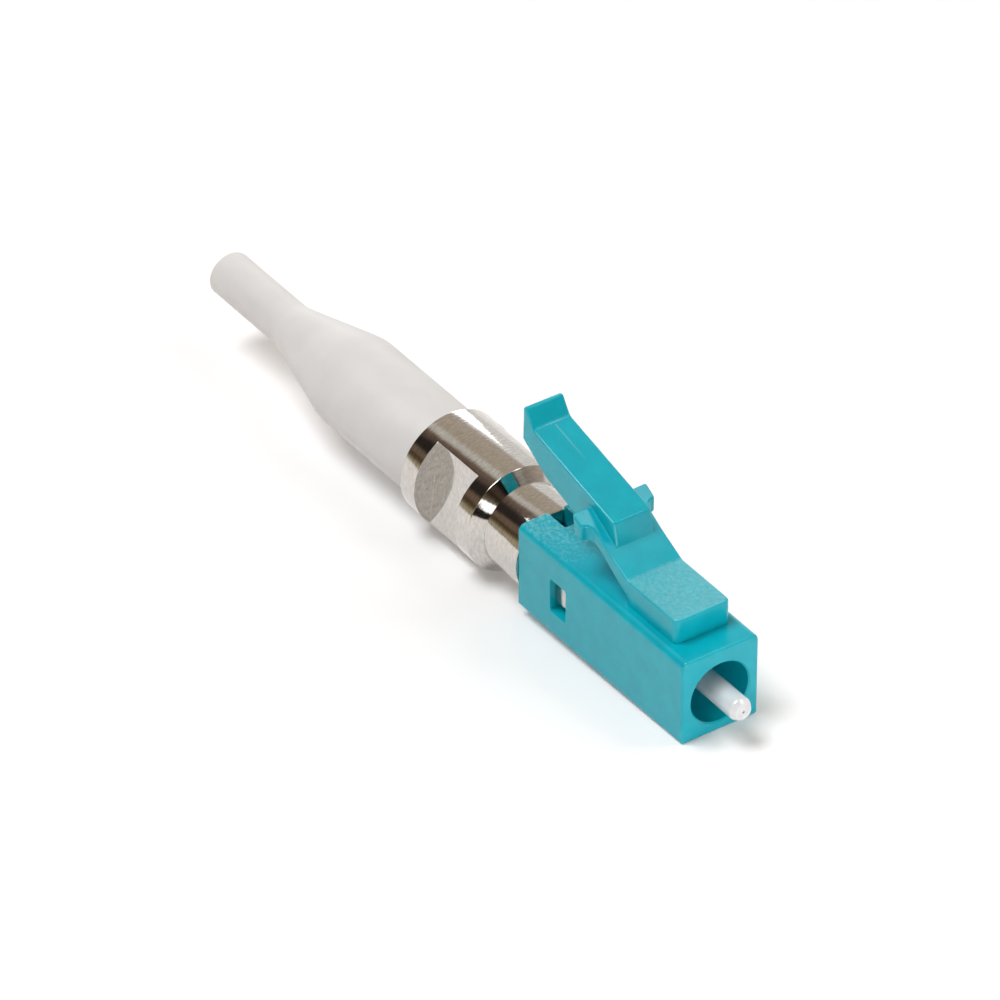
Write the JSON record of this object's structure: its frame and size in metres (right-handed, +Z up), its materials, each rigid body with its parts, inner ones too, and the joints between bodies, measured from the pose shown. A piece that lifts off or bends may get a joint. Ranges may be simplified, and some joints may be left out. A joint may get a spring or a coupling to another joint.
{
  "type": "fibre optic connector",
  "caption": "Small-form fibre plug: square-nosed housing with a ceramic ferrule and a thumb latch, a plated metal body with wrench flats, and a white tapering boot.",
  "frame": {"origin": "where the ferrule's axis passes through the plane of the housing's front face", "axes": "+X along the ferrule, out of the connector's front; +Z up, on the latch's side"},
  "size_m": [0.0448, 0.006, 0.0115],
  "materials": {
    "nose_plastic": "satin",
    "boot_plastic": "satin",
    "plated_metal": "gloss",
    "zirconia": "satin",
    "carrier_metal": "satin",
    "spring_steel": "satin",
    "tube_plastic": "satin"
  },
  "bodies": {
    "connector": {"housing": "nose_plastic", "metal_body": "plated_metal", "boot": "boot_plastic", "spring": "spring_steel"},
    "latch_arm": {"latch": "nose_plastic"},
    "ferrule_unit": {"ferrule": "zirconia", "ferrule_carrier": "carrier_metal", "guide_tube": "tube_plastic"}
  },
  "joints": [
    {"name": "latch_press", "type": "hinge", "parent": "connector", "child": "latch_arm", "pos_m": [-0.00545, 0, 0.0031], "axis": [0, -1, 0], "range_deg": [0, 15], "stiffness_Nm_per_rad": 0.3},
    {"name": "ferrule_push", "type": "slide", "parent": "connector", "child": "ferrule_unit", "axis": [-1, 0, 0], "range_m": [0, 0.001], "stiffness_N_per_m": 2000, "deforming": ["spring"]}
  ]
}
